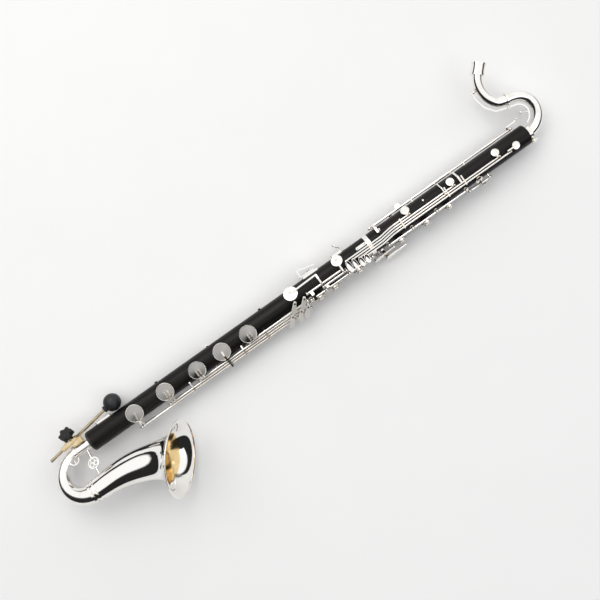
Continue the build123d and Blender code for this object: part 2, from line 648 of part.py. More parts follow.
def save_key(key, name, hinge, opened=0.0):
    """Saves a key in its rest position; an open-standing key is drawn shut and turned open."""
    save(key.part.rotate(Axis(at(0, *hinge), (1, 0, 0)), opened) if opened else key.part, name)


HINGE_OUTER = (-30.9, 0.9)
HINGE_THIRD = (-26.6, 5.1)
HINGE_SECOND = (-22.3, 9.3)
HINGE_INNER = (-18.0, 13.6)
HINGE_UNDER = (-31.0, -6.8)


def touch_plane(s, back, up, tilt):
    """Plane for a finger touch: tilt turns its face from up towards the front."""
    face = Vector(0, -sin(radians(tilt)), cos(radians(tilt)))
    return Plane(origin=at(s, back, up), x_dir=(1, 0, 0), z_dir=face)


LOW_KEY_LAYOUT = {
    # name: hinge, tube end, arm over the tubes, touch (s, back, up, tilt), touch arm
    "low_c_key": (HINGE_OUTER, 421, [(-24, 17), (-16, 26.6)], (415, -31, 12.0, 25), [(-31, 8)]),
    "low_c_sharp_key": (HINGE_THIRD, 437, [(-23, 16), (-15, 26.4)], (433, -31.5, 11.5, 25), [(-27, 9)]),
    "low_d_key": (HINGE_SECOND, 444, [(-21, 16), (-14, 26.2)], (431, -12.5, 23.5, 25), [(-22, 17)]),
    "low_e_flat_key": (HINGE_UNDER, 451, [(-36.5, -5), (-36.5, 8), (-20, 22), (-13, 27)],
                       (447, -32, 10.5, 25), [(-34.5, 0), (-33, 6)]),
    "low_e_key": (HINGE_INNER, 453, [(-17.5, 20), (-12, 26.5)], (449, -15.5, 22.5, 25), [(-18.5, 18)]),
}
OPEN_KEYS = {"low_d_key": PRESS, "low_e_key": PRESS}
# Where the arms meet each cup, along the bore from its middle.
CUP_ARMS = {
    "low_c_key": (0,),
    "low_c_sharp_key": (-1.5, 4.5),
    "low_d_key": (-2.5, 3.0),
    "low_e_flat_key": (0,),
    "low_e_key": (-1.5, 4.0),
}

for key_name, (hinge, tube_end, over, touch, touch_arm) in LOW_KEY_LAYOUT.items():
    cup_s, cup_angle, cup_r = LOW_CUPS[key_name]
    with BuildPart() as low_key:
        add_hinge_tube(cup_s - 4, tube_end, *hinge)
        add_cup(cup_s, cup_angle, cup_r)
        for arm_s in CUP_ARMS[key_name]:
            add_arm(cup_s + arm_s, cup_arm_points(hinge, cup_angle, cup_r, over), width=2.8)
        touch_s, touch_back, touch_up, touch_tilt = touch
        add_arm(touch_s, [hinge] + touch_arm + [(touch_back, touch_up)], width=4)
        add_leaf(touch_plane(touch_s, touch_back, touch_up, touch_tilt), 25, 8.6, 52)
        bore_hinge_tube(cup_s - 4, tube_end, *hinge)
    save_key(low_key, key_name, hinge, OPEN_KEYS.get(key_name, 0.0))

# Side keys: a cup on the thumb side, worked from a finger lever at the front.
HINGE_SIDE_F = (-7.6, 22.6)
HINGE_SIDE_B = (-13.6, 20.4)
SIDE_F_SPAN = (466.0, 533.0)
SIDE_B_SPAN = (496.0, 539.2)

cup_s, cup_angle, cup_r = SIDE_CUPS["f_key"]
cup_back, cup_up = cup_top(cup_angle, cup_r)
with BuildPart() as f_key:
    add_hinge_tube(*SIDE_F_SPAN, *HINGE_SIDE_F)
    add_cup(cup_s, cup_angle, cup_r)
    add_bar([(cup_s, cup_back), (494, cup_back + 1.5)], cup_up + 1.2, width=3.0)
    add_arm(494, [HINGE_SIDE_F, (-6, 26), (4, 26.2), (cup_back + 1.5, cup_up + 1.2)], width=3.0)
    add_arm(471, [HINGE_SIDE_F, (-15, 25.5), (-25, 19.5)], width=5)
    bore_hinge_tube(*SIDE_F_SPAN, *HINGE_SIDE_F)
save_key(f_key, "f_key", HINGE_SIDE_F)

cup_s, cup_angle, cup_r = SIDE_CUPS["b_key"]
with BuildPart() as b_key:
    add_hinge_tube(*SIDE_B_SPAN, *HINGE_SIDE_B)
    add_cup(cup_s, cup_angle, cup_r)
    add_arm(cup_s - 1, [HINGE_SIDE_B, (-11.8, 27.4), (2, 27.6), cup_top(cup_angle, cup_r)], width=3.0)
    add_arm(500, [HINGE_SIDE_B, (-19, 24), (-26, 17)], width=5)
    bore_hinge_tube(*SIDE_B_SPAN, *HINGE_SIDE_B)
save_key(b_key, "b_key", HINGE_SIDE_B)

# Trill keys: an oval touch on the lower joint, a rod with a jog over the middle joint,
# a hinge tube along the upper joint and a hooked arm to a small cup.
TRILL_TUBE_R = 1.6
JOG_START = 622.0
JOG_END = 646.0
TRILL_LAYOUT = {
    # name: hinge, back of the lower rod, touch (s, back, up, tilt, length, width), tube (start, end)
    "trill_key_1": ((3.6, 22.0), 0.4, (550.2, -10.5, 25.2, 15, 23, 10.2), (652, 685.0)),
    "trill_key_2": ((-0.8, 22.4), -4.0, (561.0, -12.5, 25.0, 15, 20, 9.0), (652, 777.0)),
    "trill_key_3": ((-5.2, 22.2), -8.4, (572.6, -15.5, 23.9, 17, 18, 9.0), (652, 869.5)),
    "trill_key_4": ((-9.6, 21.6), -12.8, (583.6, -16.6, 23.6, 17, 17, 9.0), (652, 890.5)),
}

for key_name, (hinge, rod_back, touch, tube_span) in TRILL_LAYOUT.items():
    cup_s, cup_angle, cup_r = TRILL_CUPS[key_name]
    touch_s, touch_back, touch_up, touch_tilt, touch_long, touch_wide = touch
    tube_start, tube_end = tube_span
    slope = radians(touch_tilt)
    touch_edge = (touch_back + touch_long * 0.36 * cos(slope), touch_up + touch_long * 0.36 * sin(slope) + 0.9)
    with BuildPart() as trill_key:
        add_rod(at(tube_start, *hinge), at(tube_end, *hinge), TRILL_TUBE_R)
        jog = [(touch_s, rod_back), (JOG_START, rod_back), (JOG_END, hinge[0]), (tube_start + 4, hinge[0])]
        add_bar(jog, hinge[1], width=2.4, bend=4)
        add_arm(touch_s, [(rod_back, hinge[1]), (rod_back, touch_edge[1]), touch_edge], bend=0.6)
        add_dish(touch_plane(touch_s, touch_back, touch_up, touch_tilt), touch_long, touch_wide)
        add_cup(cup_s, cup_angle, cup_r)
        if tube_end < cup_s - 5:
            over = cup_top(cup_angle, cup_r)
            add_arm(tube_end - 2, [hinge, over], bend=0.1)
            add_bar([(tube_end - 2, over[0]), (cup_s, over[0])], over[1])
        else:
            add_arm(cup_s - 0.5, [hinge, (hinge[0] + 1.0, 26.2), cup_top(cup_angle, cup_r)], width=3)
        bore_hinge_tube(tube_start, tube_end, *hinge)
    save_key(trill_key, key_name, hinge)

# Finger plates of the two hands: open-standing cups on the front under one hinge line.
HINGE_STACK = (-20.6, 13.8)
PLATE_TUBES = {
    "right_ring_plate": (467.0, 492.0),
    "right_middle_plate": (498.5, 541.0),
    "right_index_plate": (547.5, 590.0),
    "left_ring_plate": (632.0, 676.0),
    "left_middle_plate": (682.5, 727.0),
    "left_index_plate": (733.5, 790.0),
}
for key_name, (tube_start, tube_end) in PLATE_TUBES.items():
    cup_s, cup_angle, cup_r = PLATE_CUPS[key_name]
    with BuildPart() as plate_key:
        add_hinge_tube(tube_start, tube_end, *HINGE_STACK)
        add_cup(cup_s, cup_angle, cup_r)
        plate_arm = [HINGE_STACK, (-26.6, 11.5), (-27.6, 4), cup_top(cup_angle, cup_r)]
        add_arm(cup_s, plate_arm, width=3.4)
        with BuildSketch(radial(cup_s, cup_angle, SEAT_R + 5.4)) as finger_plate:
            Circle(cup_r * 0.72)
        extrude(finger_plate.sketch, amount=1.6)
        bore_hinge_tube(tube_start, tube_end, *HINGE_STACK)
    save_key(plate_key, key_name, HINGE_STACK, -PRESS)

HINGE_THROAT = (-25.0, 5.0)
THROAT_SPAN = (802.0, 838.0)
cup_s, cup_angle, cup_r = THROAT_CUPS["throat_key"]
with BuildPart() as throat_key:
    add_hinge_tube(*THROAT_SPAN, *HINGE_THROAT)
    add_cup(cup_s, cup_angle, cup_r)
    add_arm(cup_s, [HINGE_THROAT, (-26, 13), cup_top(cup_angle, cup_r)], width=3)
    add_arm(cup_s + 6, [HINGE_THROAT, (-29, 3), (-30, -5)], width=7)
    bore_hinge_tube(*THROAT_SPAN, *HINGE_THROAT)
save_key(throat_key, "throat_key", HINGE_THROAT)

# Register key: a long hinge tube along the back, a thumb crook, a bridge arm and a link to the neck.
HINGE_REGISTER = (23.2, -1.0)
REGISTER_SPAN = (622.0, 917.0)
with BuildPart() as register_key:
    add_hinge_tube(*REGISTER_SPAN, *HINGE_REGISTER)
    add_rod(at(698, *HINGE_REGISTER), at(702, *HINGE_REGISTER), TUBE_R + 0.8)
    add_rod(at(742, *HINGE_REGISTER), at(788, *HINGE_REGISTER), TUBE_R + 0.7)
    add_rod(at(857, *HINGE_REGISTER), at(889, *HINGE_REGISTER), TUBE_R + 0.5)
    add_arm(624.5, [HINGE_REGISTER, (25, 10), (18, 21), (9, 24.4)], width=4)
    add_arm(681, [HINGE_REGISTER, (30.5, -3), (34, -9), (31, -15)], width=9, bend=2.8)
    add_arm(915, [HINGE_REGISTER, (28, 2.5), (30, 6)], width=3)
    link_line = bar_spine([(914, 29.5), (932, 29.5), (937, 31.5)], 2)
    with BuildSketch(Plane(origin=at(0, 0, 6), x_dir=(1, 0, 0), z_dir=(0, 0, 1))) as link_bar:
        SlotArc(link_line, 2.2)
    extrude(link_bar.sketch, amount=1.2, both=True)
    add_ball(at(936.5, 31.5, 6), 2.3)
    bore_hinge_tube(*REGISTER_SPAN, *HINGE_REGISTER)
save_key(register_key, "register_key", HINGE_REGISTER)

# Left-hand levers: long tubes under the body, with leaf touches at the front.
HINGE_LEFT_FRONT = (-24.0, -24.9)
HINGE_LEFT_BACK = (12.0, -24.9)
LEAF_TILT = 62
LEFT_FRONT_SPAN = (262.0, 607.0)
LEFT_BACK_SPAN = (262.0, 621.0)
LEFT_SIDE_SPAN = (658.0, 846.0)
with BuildPart() as left_lever_front:
    add_hinge_tube(*LEFT_FRONT_SPAN, *HINGE_LEFT_FRONT)
    add_arm(597, [HINGE_LEFT_FRONT, (-29.5, -18), (-28.5, -8)], width=5)
    add_leaf(touch_plane(616, -28.4, -6.5, LEAF_TILT), 46, 9.5, 8)
    add_arm(265, [HINGE_LEFT_FRONT, (-27.5, -18), (-25.5, -13)], width=4)
    bore_hinge_tube(*LEFT_FRONT_SPAN, *HINGE_LEFT_FRONT)
save_key(left_lever_front, "left_lever_front", HINGE_LEFT_FRONT)

with BuildPart() as left_lever_back:
    add_hinge_tube(*LEFT_BACK_SPAN, *HINGE_LEFT_BACK)
    add_arm(618, [HINGE_LEFT_BACK, (7, -22.3), (-22, -22.3), (-32, -19), (-36.5, -12)], width=4.5)
    add_leaf(touch_plane(636, -36.6, -11.5, LEAF_TILT), 46, 8.5, 6)
    add_arm(265, [HINGE_LEFT_BACK, (18, -21), (20.5, -14)], width=4)
    bore_hinge_tube(*LEFT_BACK_SPAN, *HINGE_LEFT_BACK)
save_key(left_lever_back, "left_lever_back", HINGE_LEFT_BACK)

cup_s, cup_angle, cup_r = LEFT_CUPS["left_side_key"]
with BuildPart() as left_side_key:
    add_hinge_tube(*LEFT_SIDE_SPAN, *HINGE_LEFT_BACK)
    add_cup(cup_s, cup_angle, cup_r)
    add_arm(cup_s, [HINGE_LEFT_BACK, cup_top(cup_angle, cup_r)], width=3.4)
    add_arm(664, [HINGE_LEFT_BACK, (19, -22), (22.5, -14)], width=7)
    bore_hinge_tube(*LEFT_SIDE_SPAN, *HINGE_LEFT_BACK)
save_key(left_side_key, "left_side_key", HINGE_LEFT_BACK)

# ---- posts and the steel rods that the keys turn on ----
END_GAP = 0.4
POST_REACH = BALL_R + END_GAP
HINGE_LINES = {
    "side_f": (HINGE_SIDE_F, SIDE_F_SPAN),
    "side_b": (HINGE_SIDE_B, SIDE_B_SPAN),
    "throat": (HINGE_THROAT, THROAT_SPAN),
    "register": (HINGE_REGISTER, REGISTER_SPAN),
    "left_front": (HINGE_LEFT_FRONT, LEFT_FRONT_SPAN),
    "left_back": (HINGE_LEFT_BACK, LEFT_BACK_SPAN),
    "left_side": (HINGE_LEFT_BACK, LEFT_SIDE_SPAN),
}
for key_name, layout in LOW_KEY_LAYOUT.items():
    HINGE_LINES[key_name] = (layout[0], (LOW_CUPS[key_name][0] - 4, layout[1]))
STACK_POSTS = (463.6, 495.25, 544.25, 593.4, 628.6, 679.25, 730.25, 793.4)


def ball_post(s, hinge, ball_r=BALL_R):
    """A post screwed into the wood, with a drilled ball that carries a hinge rod."""
    reach = sqrt(hinge[0] ** 2 + hinge[1] ** 2)
    out = Vector(0, hinge[0] / reach, hinge[1] / reach)
    foot = at(s, 0, 0) + out * (BODY_R - 1.0)
    add_rod(foot, at(s, *hinge), ball_r * 0.5)
    add_rod(foot, at(s, 0, 0) + out * (BODY_R + 0.9), ball_r * 0.82)
    add_ball(at(s, *hinge), ball_r)
    add_rod(at(s - 5, *hinge), at(s + 5, *hinge), ROD_R, mode=Mode.SUBTRACT)


def ball_posts(places, ball_r=BALL_R):
    for s, hinge in places:
        ball_post(s, hinge, ball_r)
    clear_body()


def hinge_end_posts(names, reach=POST_REACH):
    """Places of the posts just past each end of the named hinge tubes."""
    starts = [(HINGE_LINES[n][1][0] - reach, HINGE_LINES[n][0]) for n in names]
    return starts + [(HINGE_LINES[n][1][1] + reach, HINGE_LINES[n][0]) for n in names]


# Saddles that steady the long low-key tubes between their posts.
LOW_SADDLES = {
    207.0: (HINGE_OUTER, HINGE_THIRD),
    317.0: (HINGE_OUTER, HINGE_THIRD, HINGE_SECOND),
    366.0: (HINGE_OUTER, HINGE_THIRD, HINGE_SECOND, HINGE_INNER),
}
with BuildPart() as low_key_posts:
    for saddle_s, carried in LOW_SADDLES.items():
        with BuildSketch(cross(saddle_s)) as saddle:
            with Locations(*carried):
                Circle(TUBE_R + 1.1)
            with Locations((-15.5, 9.0)):
                Circle(2.6)
            make_hull()
            with Locations(*carried):
                Circle(TUBE_R + 0.06, mode=Mode.SUBTRACT)
        extrude(saddle.sketch, amount=1.3, both=True)
    ball_posts(hinge_end_posts(LOW_KEY_LAYOUT))
save(low_key_posts.part, "low_key_posts")

SIDE_BALL_R = 2.5
with BuildPart() as side_key_posts:
    ball_posts(hinge_end_posts(["side_f", "side_b"], SIDE_BALL_R + END_GAP), SIDE_BALL_R)
save(side_key_posts.part, "side_key_posts")

with BuildPart() as stack_posts:
    ball_posts([(s, HINGE_STACK) for s in STACK_POSTS] + hinge_end_posts(["throat"]))
save(stack_posts.part, "stack_posts")

with BuildPart() as register_posts:
    ball_posts(hinge_end_posts(["register"]))
    for saddle_s in (707.0, 819.0):
        with BuildSketch(cross(saddle_s)) as cradle:
            with Locations((21.6, -1.0)):
                Rectangle(8.6, 6.0)
            with Locations((23.2, -1.0)):
                Circle(TUBE_R + 0.06, mode=Mode.SUBTRACT)
            with Locations((26.9, -1.0)):
                Rectangle(5.0, 8.0, mode=Mode.SUBTRACT)
        extrude(cradle.sketch, amount=1.5, both=True)
    clear_body()
save(register_posts.part, "register_posts")

with BuildPart() as left_posts:
    ball_posts(hinge_end_posts(["left_front", "left_back", "left_side"]))
save(left_posts.part, "left_posts")

TRILL_BALL_R = 1.9
with BuildPart() as trill_posts:
    for hinge, rod_back, touch, tube_span in TRILL_LAYOUT.values():
        ball_post(tube_span[1] + TRILL_BALL_R + END_GAP, hinge, TRILL_BALL_R)
    for knob_s, knob_back in ((629.0, 12.0), (720.0, 9.0)):
        ball_post(knob_s, (knob_back, 19.0), TRILL_BALL_R + 0.4)
    clear_body()
save(trill_posts.part, "trill_posts")

# Comb plates that the trill tubes turn in, and straps that bridge the body over them.
GUIDE_S = (667.0, 761.0, 797.0)
STRAP_PLACES = ((757.0, 2.2), (791.0, 3.4))
with BuildPart() as trill_guides:
    for guide_s in GUIDE_S:
        with BuildSketch(cross(guide_s)) as comb:
            with Locations((-3.0, 20.4)):
                RectangleRounded(19.5, 9.0, 1.4)
            for hinge, rod_back, touch, tube_span in TRILL_LAYOUT.values():
                with Locations(hinge):
                    Circle(TRILL_TUBE_R + 0.06, mode=Mode.SUBTRACT)
        extrude(comb.sketch, amount=1.2, both=True)
    for strap_s, strap_width in STRAP_PLACES:
        strap_path = [(19.2, -6.0), (19.4, 3.0), (18.6, 12.0), (10.5, 21.6), (8.0, 25.6), (-4.5, 26.0)]
        add_arm(strap_s, strap_path, width=strap_width, thick=1.2)
    clear_body()
save(trill_guides.part, "trill_guides")

with BuildPart() as bridge_plate:
    with BuildSketch(Plane(origin=at(586.5, 6.4, 17.0), x_dir=(1, 0, 0), z_dir=(0, 0, 1))) as bridge:
        RectangleRounded(20.5, 5.6, 2.4)
    extrude(bridge.sketch, amount=3.6)
    clear_body()
save(bridge_plate.part, "bridge_plate")

with BuildPart() as hinge_rods:
    for hinge, ends in HINGE_LINES.values():
        add_rod(at(ends[0] - 5, *hinge), at(ends[1] + 5, *hinge), ROD_R)
    add_rod(at(STACK_POSTS[0] - 2, *HINGE_STACK), at(STACK_POSTS[3] + 2, *HINGE_STACK), ROD_R)
    add_rod(at(STACK_POSTS[4] - 2, *HINGE_STACK), at(STACK_POSTS[7] + 2, *HINGE_STACK), ROD_R)
    for hinge, rod_back, touch, tube_span in TRILL_LAYOUT.values():
        add_rod(at(tube_span[1] - 8, *hinge), at(tube_span[1] + 3, *hinge), ROD_R)
save(hinge_rods.part, "hinge_rods")
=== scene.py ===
import bmesh
import bpy
import json
from math import asin, cos, hypot, pi, radians, sin
from mathutils import Matrix, Vector


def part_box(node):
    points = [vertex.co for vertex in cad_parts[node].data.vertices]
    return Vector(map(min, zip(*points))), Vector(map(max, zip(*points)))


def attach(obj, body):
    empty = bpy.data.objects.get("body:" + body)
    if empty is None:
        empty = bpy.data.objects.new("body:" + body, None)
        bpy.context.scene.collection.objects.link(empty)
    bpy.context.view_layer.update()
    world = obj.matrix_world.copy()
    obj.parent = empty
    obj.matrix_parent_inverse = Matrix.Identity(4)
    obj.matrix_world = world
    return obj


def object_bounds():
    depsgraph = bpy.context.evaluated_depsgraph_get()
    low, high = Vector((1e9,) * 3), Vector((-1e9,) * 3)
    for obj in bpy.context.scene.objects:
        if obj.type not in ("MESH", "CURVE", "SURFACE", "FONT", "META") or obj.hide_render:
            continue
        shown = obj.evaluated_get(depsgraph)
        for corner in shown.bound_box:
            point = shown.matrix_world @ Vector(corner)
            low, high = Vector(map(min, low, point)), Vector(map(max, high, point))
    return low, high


# Looks for a bass clarinet to low C: materials, light, camera and the small fittings
# that ride on the CAD bodies.  Metres in Blender; lengths below are in millimetres.

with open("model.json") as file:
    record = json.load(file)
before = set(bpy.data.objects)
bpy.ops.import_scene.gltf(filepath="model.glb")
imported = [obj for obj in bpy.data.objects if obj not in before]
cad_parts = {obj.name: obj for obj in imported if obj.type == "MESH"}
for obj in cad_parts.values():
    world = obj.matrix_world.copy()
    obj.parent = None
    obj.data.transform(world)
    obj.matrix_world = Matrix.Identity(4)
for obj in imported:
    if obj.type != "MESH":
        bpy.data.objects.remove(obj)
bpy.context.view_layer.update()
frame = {"nodes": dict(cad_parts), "record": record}
nodes = frame["nodes"]
MM = 0.001

# ---- places along the bore ----
FERRULE_START = 597.05
ferrule_low, ferrule_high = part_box("joint_ferrule")
BORE_Y = (ferrule_low.y + ferrule_high.y) / 2
BORE_Z = (ferrule_low.z + ferrule_high.z) / 2
BELL_END_X = ferrule_low.x - FERRULE_START * MM
SEAT_R = 21.5
CUP_LIFT = 1.2
PAD_RECESS = 1.4
CUP_SKIRT = 2.2
PRESS = 6.0


def at(s, back, up):
    """Point at s from the bell end of the body, back from the bore axis and up from it."""
    return Vector((BELL_END_X + s * MM, BORE_Y + back * MM, BORE_Z + up * MM))


def outwards(angle):
    """Direction away from the bore: the angle turns from up to the front."""
    return Vector((0, -sin(radians(angle)), cos(radians(angle))))


# ---- the bell's plane and the arc that its flare follows ----
BELL_ROLL = 26.0
FLARE_START = -27.9
BOW_DROP = 82.0
FLARE_STRAIGHT = 28.0
FLARE_ARC_R = 219.0
FLARE_TURN = 35.5
THROAT_EDGE = -18.5
THROAT_FADE = 2.0


def bell_vector(along, down):
    """Direction in the bell's plane, which is rolled about the bore."""
    return Vector((along, -down * cos(radians(BELL_ROLL)), down * sin(radians(BELL_ROLL))))


# ---- shader helper ----
class Shader:
    """A node material around one Principled BSDF, in the object's own rest coordinates."""

    def __init__(self, name, **values):
        self.material = bpy.data.materials.new(name)
        self.material.use_nodes = True
        self.tree = self.material.node_tree
        self.bsdf = self.tree.nodes["Principled BSDF"]
        for key, value in values.items():
            self.bsdf.inputs[key.replace("_", " ")].default_value = value
        self.coords = self.add("TexCoord")
        self.place = self.coords.outputs["Object"]

    def add(self, kind, inputs=None, **settings):
        made = self.tree.nodes.new("ShaderNode" + kind)
        for key, value in settings.items():
            setattr(made, key, value)
        for key, value in (inputs or {}).items():
            if isinstance(value, bpy.types.NodeSocket):
                self.tree.links.new(value, made.inputs[key])
            else:
                made.inputs[key].default_value = value
        return made

    def stretched(self, x, y, z):
        return self.add("Mapping", {"Vector": self.place, "Scale": (x, y, z)}).outputs[0]

    def noise(self, scale, detail=3.0, rough=0.5, vector=None):
        settings = {"Vector": vector or self.place, "Scale": scale, "Detail": detail, "Roughness": rough}
        return self.add("TexNoise", settings).outputs["Fac"]

    def span(self, value, low, high, out_low=0.0, out_high=1.0):
        settings = {"Value": value, "From Min": low, "From Max": high, "To Min": out_low, "To Max": out_high}
        return self.add("MapRange", settings, clamp=True).outputs[0]

    def math(self, operation, a, b=0.0):
        return self.add("Math", {0: a, 1: b}, operation=operation).outputs[0]

    def vector_math(self, operation, a, b=(0, 0, 0)):
        return self.add("VectorMath", {0: a, 1: b}, operation=operation)

    def blend(self, fac, a, b):
        settings = {0: fac, 6: a, 7: b}
        return self.add("Mix", settings, data_type="RGBA").outputs[2]

    def blend_vector(self, fac, a, b):
        settings = {0: fac, 4: a, 5: b}
        return self.add("Mix", settings, data_type="VECTOR").outputs[1]

    def crevice(self, reach):
        """1 in tight corners, 0 in the open."""
        settings = {"Distance": reach * MM}
        occlusion = self.add("AmbientOcclusion", settings, samples=6).outputs["AO"]
        return self.span(occlusion, 0.35, 0.95, 1.0, 0.0)

    def bump(self, height, depth, strength=1.0, under=None):
        settings = {"Height": height, "Distance": depth * MM, "Strength": strength}
        if under:
            settings["Normal"] = under
        return self.add("Bump", settings).outputs[0]

    def put(self, **sockets):
        for key, value in sockets.items():
            self.tree.links.new(value, self.bsdf.inputs[key.replace("_", " ")])
        return self.material


def rgb(r, g, b):
    return (r, g, b, 1.0)


# ---- materials ----
SILVER = rgb(0.93, 0.915, 0.885)
WORN = rgb(0.80, 0.755, 0.68)
BRASSY_SHADE_AND_TARNISH = rgb(0.66, 0.46, 0.20)
# Dark greys for the turned cone inside each low cup's rim: a painted dark reflection on the silver.
CONE_REFLECTION_LIGHT = rgb(0.50, 0.49, 0.47)
CONE_REFLECTION_DARK = rgb(0.27, 0.26, 0.25)
CUP_RIM = 0.9
TOUCH_START = 400
TOUCH_FADE = 3


def silver(name, rough=0.09, spread=0.08, shade_and_tarnish=0.55, reach=3.5):
    """Silver plate: faint clouding, fine polishing marks, and a brassy tint in the corners that is partly
    tarnish and partly painted shade.
    """
    shade = Shader(name, Metallic=1.0)
    cloud = shade.noise(55, 4)
    marks = shade.noise(900, 2, 0.6, shade.stretched(0.12, 1, 1))
    patches = shade.span(shade.noise(240, 3), 0.3, 0.75, 0.25, 1.0)
    # Painted shade: a darker brassy tone, in patches, where ambient occlusion finds corners and faces close
    # to other parts; partly tarnish.
    corner = shade.math("MULTIPLY", shade.crevice(reach), patches)
    base = shade.blend(shade.span(cloud, 0.5, 0.85, 0.0, 0.7), SILVER, WORN)
    base = shade.blend(shade.math("MULTIPLY", corner, shade_and_tarnish), base, BRASSY_SHADE_AND_TARNISH)
    gloss = shade.span(cloud, 0.3, 0.8, rough, rough + spread)
    gloss = shade.math("ADD", gloss, shade.span(marks, 0.45, 0.8, 0.0, 0.06))
    ripple = shade.bump(shade.noise(160, 2), 0.015)
    return shade.put(Base_Color=base, Roughness=gloss, Normal=ripple)


def spun_cup(name, s, angle, radius):
    """Keywork silver whose round cup is turned: its sheen fans out from the middle, and the cone inside the
    rim is painted dark grey as a painted reflection.
    """
    shade = Shader(name, Metallic=1.0, Anisotropic=0.85)
    centre = at(s, 0, 0) + outwards(angle) * (SEAT_R + CUP_LIFT) * MM
    arm = shade.vector_math("SUBTRACT", shade.place, centre).outputs[0]
    around = shade.vector_math("CROSS_PRODUCT", tuple(outwards(angle)), arm).outputs[0]
    reach = shade.vector_math("LENGTH", around).outputs["Value"]
    in_cup = shade.math("LESS_THAN", reach, (radius + 0.2) * MM)
    turned_way = shade.vector_math("NORMALIZE", around).outputs[0]
    tangent = shade.blend_vector(in_cup, (1, 0, 0), turned_way)
    # Painted shade: a brassy tone at half strength where ambient occlusion finds corners; partly tarnish.
    corner = shade.math("MULTIPLY", shade.crevice(3.5), 0.5)
    ring = shade.math("MULTIPLY", reach, 1 / MM)
    turning = shade.noise(3.2, 2, 0.7, shade.add("CombineXYZ", {0: ring}).outputs[0])
    # Inside the rim the cone's colour is a painted dark reflection, in turned rings, darker than the silver
    # rim and arm.
    on_cone = shade.math("LESS_THAN", reach, (radius - CUP_RIM) * MM)
    along = shade.add("SeparateXYZ", {0: shade.place}).outputs[0]
    on_touch = shade.span(along, at(TOUCH_START, 0, 0).x, at(TOUCH_START + TOUCH_FADE, 0, 0).x)
    silver_tone = shade.blend(shade.span(turning, 0.35, 0.75), SILVER, WORN)
    painted_cone_reflection = shade.blend(shade.span(turning, 0.35, 0.75), CONE_REFLECTION_LIGHT, CONE_REFLECTION_DARK)
    base = shade.blend(on_cone, silver_tone, painted_cone_reflection)
    base = shade.blend(corner, base, BRASSY_SHADE_AND_TARNISH)
    rings = shade.span(turning, 0.3, 0.8, 0.0, 0.08)
    gloss = shade.math("ADD", shade.span(in_cup, 0, 1, 0.10, 0.20), rings)
    gloss = shade.math("ADD", gloss, shade.math("MULTIPLY", on_touch, 0.24))
    plated = shade.span(on_touch, 0, 1, 1.0, 0.35)
    ripple = shade.bump(shade.noise(160, 2), 0.012)
    return shade.put(Base_Color=base, Roughness=gloss, Tangent=tangent, Normal=ripple, Metallic=plated)


def bell_silver(name, mouth, forward, hub, side):
    """Silver plate, gilt on the faces that look back at the flare's curved centreline."""
    shade = Shader(name, Metallic=1.0)
    from_hub = shade.vector_math("SUBTRACT", shade.place, hub).outputs[0]
    sideways = shade.vector_math("DOT_PRODUCT", from_hub, side).outputs["Value"]
    aside = shade.add("VectorMath", {0: side, "Scale": sideways}, operation="SCALE").outputs[0]
    flat = shade.vector_math("SUBTRACT", from_hub, aside).outputs[0]
    in_plane = shade.vector_math("NORMALIZE", flat).outputs[0]
    spine = shade.add("VectorMath", {0: in_plane, "Scale": FLARE_ARC_R * MM}, operation="SCALE").outputs[0]
    spread = shade.vector_math("SUBTRACT", from_hub, spine).outputs[0]
    normal = shade.coords.outputs["Normal"]
    facing = shade.vector_math("DOT_PRODUCT", normal, spread).outputs["Value"]
    from_mouth = shade.vector_math("SUBTRACT", shade.place, mouth).outputs[0]
    depth = shade.vector_math("DOT_PRODUCT", from_mouth, forward).outputs["Value"]
    inside = shade.math("LESS_THAN", facing, 0.0)
    throat_edge = (THROAT_EDGE * MM, (THROAT_EDGE + THROAT_FADE) * MM)
    throat = shade.math("MULTIPLY", inside, shade.span(depth, *throat_edge, 1.0, 0.0))
    cloud = shade.noise(30, 4)
    marks = shade.noise(700, 2, 0.6, shade.stretched(0.1, 1, 1))
    outer = shade.blend(shade.span(cloud, 0.5, 0.85, 0.0, 0.5), SILVER, WORN)
    inner = shade.blend(shade.span(cloud, 0.35, 0.7), rgb(0.86, 0.66, 0.36), rgb(0.70, 0.50, 0.24))
    base = shade.blend(throat, outer, inner)
    polish = shade.span(marks, 0.5, 0.8, 0.0, 0.04)
    gloss = shade.math("ADD", shade.span(cloud, 0.3, 0.8, 0.04, 0.09), polish)
    gloss = shade.math("ADD", gloss, shade.math("MULTIPLY", throat, 0.10))
    ripple = shade.bump(shade.noise(22, 2), 0.05)
    return shade.put(Base_Color=base, Roughness=gloss, Normal=ripple)


def blackwood(name):
    """Oiled blackwood: long pores and faint brown streaks along the bore."""
    shade = Shader(name, Specular_IOR_Level=0.2)
    streaks = shade.noise(260, 4, 0.6, shade.stretched(0.03, 1, 1))
    pores = shade.noise(1500, 2, 0.5, shade.stretched(0.04, 1, 1))
    drift = shade.noise(14, 3)
    pore = shade.span(pores, 0.56, 0.66)
    black, brown = rgb(0.0035, 0.0033, 0.0034), rgb(0.013, 0.0085, 0.0065)
    base = shade.blend(shade.span(streaks, 0.42, 0.72), black, brown)
    base = shade.blend(shade.math("MULTIPLY", pore, 0.7), base, rgb(0.002, 0.002, 0.002))
    dull = shade.math("MULTIPLY", pore, 0.18)
    gloss = shade.math("ADD", shade.span(drift, 0.3, 0.75, 0.30, 0.44), dull)
    grain = shade.bump(pore, 0.035, 0.7)
    grain = shade.bump(streaks, 0.05, 0.5, grain)
    return shade.put(Base_Color=base, Roughness=gloss, Normal=grain)


